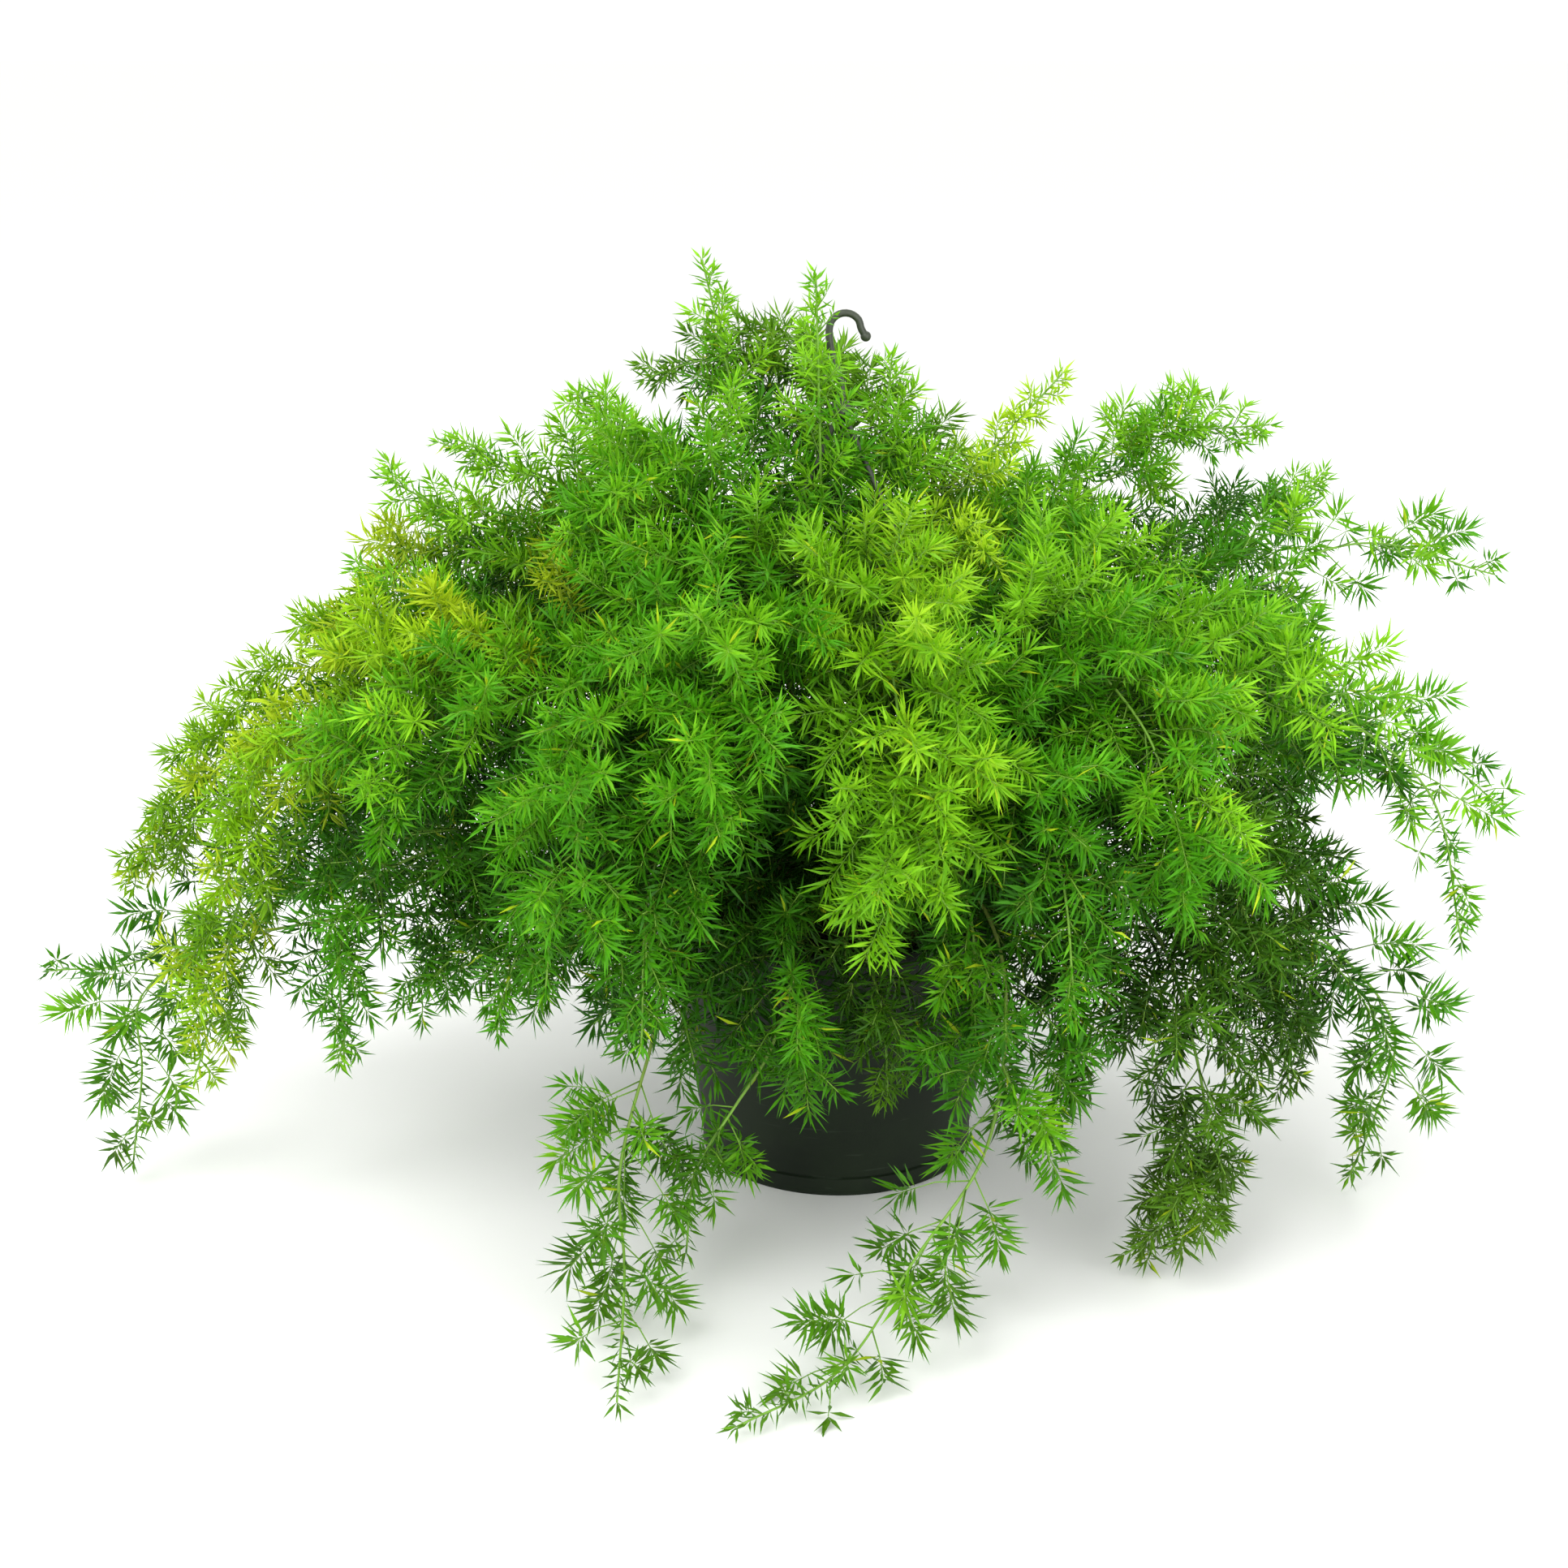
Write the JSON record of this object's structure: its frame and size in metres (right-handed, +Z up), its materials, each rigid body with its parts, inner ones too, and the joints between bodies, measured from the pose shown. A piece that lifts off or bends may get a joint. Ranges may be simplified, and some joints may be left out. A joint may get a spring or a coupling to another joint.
{
  "type": "potted asparagus fern",
  "caption": "Sprengeri asparagus fern: arching and trailing stems with tufts of needles, growing in a tapered black pot with a plastic hanger.",
  "frame": {"origin": "middle of the pot's flat base, on the surface that the pot stands on", "axes": "+Z up along the pot's axis; -Y towards the side that the picture shows; +X to the right in the picture"},
  "size_m": [0.8994, 0.7323, 0.5322],
  "materials": {
    "pot_plastic": "injection-moulded black-green plastic, matt, with fine mould lines",
    "hanger_plastic": "moulded dark olive plastic, semi-matt",
    "potting_mix": "loose dark peat and bark crumbs",
    "foliage_green": "satin green needles on thin olive stems",
    "foliage_lime": "young yellow-green needles, satin",
    "foliage_deep": "old dark green needles, satin"
  },
  "bodies": {
    "root": {"pot": "pot_plastic", "soil": "potting_mix", "hanger": "hanger_plastic", "frond_arch_right": "foliage_green", "frond_back_dome_1": "foliage_green", "frond_back_dome_2": "foliage_green", "frond_back_dome_3": "foliage_green", "frond_back_drape_1": "foliage_deep", "frond_back_drape_2": "foliage_deep", "frond_back_drape_3": "foliage_deep", "frond_back_long_1": "foliage_green", "frond_back_long_2": "foliage_green", "frond_back_long_3": "foliage_green", "frond_back_long_4": "foliage_green", "frond_back_long_5": "foliage_green", "frond_back_long_6": "foliage_green", "frond_bright_front": "foliage_green", "frond_crest_arch": "foliage_deep", "frond_crest_left": "foliage_green", "frond_crest_middle": "foliage_green", "frond_crest_right": "foliage_green", "frond_dark_right": "foliage_deep", "frond_dome_front": "foliage_lime", "frond_dome_front_high": "foliage_green", "frond_dome_front_left": "foliage_green", "frond_dome_front_right": "foliage_green", "frond_dome_left_high": "foliage_green", "frond_dome_left_low": "foliage_green", "frond_dome_left_middle": "foliage_green", "frond_dome_right_far": "foliage_green", "frond_dome_right_high": "foliage_lime", "frond_dome_right_middle": "foliage_green", "frond_drape_left": "foliage_green", "frond_drape_middle": "foliage_deep", "frond_drop_right": "foliage_deep", "frond_fall_right": "foliage_deep", "frond_fill_left": "foliage_green", "frond_fringe_left": "foliage_green", "frond_fringe_right": "foliage_green", "frond_hang_front_left": "foliage_green", "frond_hang_right": "foliage_green", "frond_high_right": "foliage_green", "frond_lime_left": "foliage_green", "frond_lime_spire": "foliage_lime", "frond_long_right": "foliage_green", "frond_low_left": "foliage_green", "frond_low_right": "foliage_green", "frond_reach_left": "foliage_green", "frond_slope_left": "foliage_lime", "frond_spire_right": "foliage_green", "frond_spray_left_high": "foliage_green", "frond_spray_left_low": "foliage_green", "frond_spray_left_middle": "foliage_green", "frond_spray_left_near": "foliage_green", "frond_trail_front": "foliage_green", "frond_trail_left": "foliage_green", "frond_under_left_far": "foliage_green", "frond_under_left_near": "foliage_green", "frond_under_right": "foliage_deep", "frond_yellow_left": "foliage_lime"}
  },
  "joints": []
}
